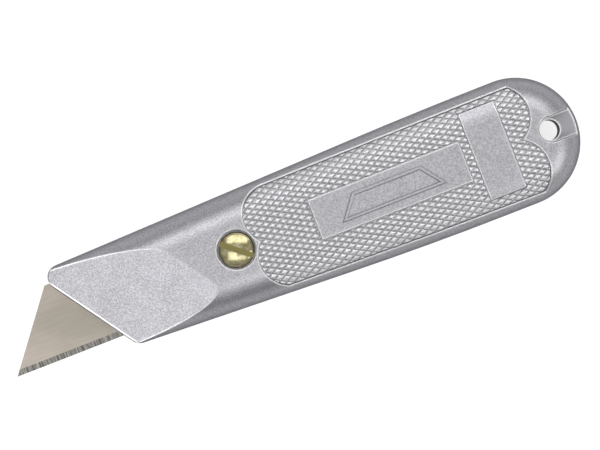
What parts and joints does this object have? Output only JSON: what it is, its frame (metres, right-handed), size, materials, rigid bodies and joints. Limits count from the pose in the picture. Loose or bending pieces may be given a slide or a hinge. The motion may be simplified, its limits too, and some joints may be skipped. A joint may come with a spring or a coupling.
{
  "type": "utility knife",
  "caption": "Fixed-blade utility knife: two cast zinc half shells with a knurled grip, clamped by one slotted screw over a trapezoid blade, with spares in the handle.",
  "frame": {"origin": "bottom centre of the whole knife with its working blade, lying on its rear shell", "axes": "+X from the blade's tip to the tail, +Y from the cutting edge to the spine, +Z from the rear shell to the front shell and the screw's head"},
  "size_m": [0.1546, 0.0326, 0.0186],
  "materials": {
    "cast_zinc": "die-cast zinc under a clear-silver lacquer, shot-blasted on the nose",
    "blade_steel": "hardened carbon steel, ground across the cutting edge",
    "brass": "turned brass, dull polish"
  },
  "bodies": {
    "rear_half": {"rear_shell": "cast_zinc"},
    "front_half": {"front_shell": "cast_zinc"},
    "screw": {"clamp_screw": "brass"},
    "blade_in_use": {"working_blade": "blade_steel"},
    "spare_1": {"spare_blade_1": "blade_steel"},
    "spare_2": {"spare_blade_2": "blade_steel"},
    "spare_3": {"spare_blade_3": "blade_steel"},
    "spare_4": {"spare_blade_4": "blade_steel"},
    "spare_5": {"spare_blade_5": "blade_steel"}
  },
  "joints": [
    {"name": "cover_lift", "type": "slide", "parent": "rear_half", "child": "front_half", "axis": [0, 0, 1], "range_m": [0, 0.03]},
    {"name": "screw_turn", "type": "hinge", "parent": "front_half", "child": "screw", "pos_m": [-0.01409, 0.00033, 0.00925], "axis": [0, 0, 1], "range_deg": [0, 13501]},
    {"name": "blade_lift", "type": "slide", "parent": "rear_half", "child": "blade_in_use", "axis": [0, 0, 1], "range_m": [0, 0.0151]},
    {"name": "spare_lift_1", "type": "slide", "parent": "rear_half", "child": "spare_1", "axis": [0, 0, 1], "range_m": [0, 0.0061]},
    {"name": "spare_lift_2", "type": "slide", "parent": "rear_half", "child": "spare_2", "axis": [0, 0, 1], "range_m": [0, 0.0085]},
    {"name": "spare_lift_3", "type": "slide", "parent": "rear_half", "child": "spare_3", "axis": [0, 0, 1], "range_m": [0, 0.0109]},
    {"name": "spare_lift_4", "type": "slide", "parent": "rear_half", "child": "spare_4", "axis": [0, 0, 1], "range_m": [0, 0.0133]},
    {"name": "spare_lift_5", "type": "slide", "parent": "rear_half", "child": "spare_5", "axis": [0, 0, 1], "range_m": [0, 0.0157]}
  ],
  "couplings": [
    {"joint": "screw_turn", "follows": "cover_lift", "rad_per_m": 7854},
    {"joint": "blade_lift", "follows": "cover_lift", "ratio": 0.5},
    {"joint": "spare_lift_1", "follows": "cover_lift", "ratio": 0.2},
    {"joint": "spare_lift_2", "follows": "cover_lift", "ratio": 0.28},
    {"joint": "spare_lift_3", "follows": "cover_lift", "ratio": 0.36},
    {"joint": "spare_lift_4", "follows": "cover_lift", "ratio": 0.44},
    {"joint": "spare_lift_5", "follows": "cover_lift", "ratio": 0.52}
  ]
}
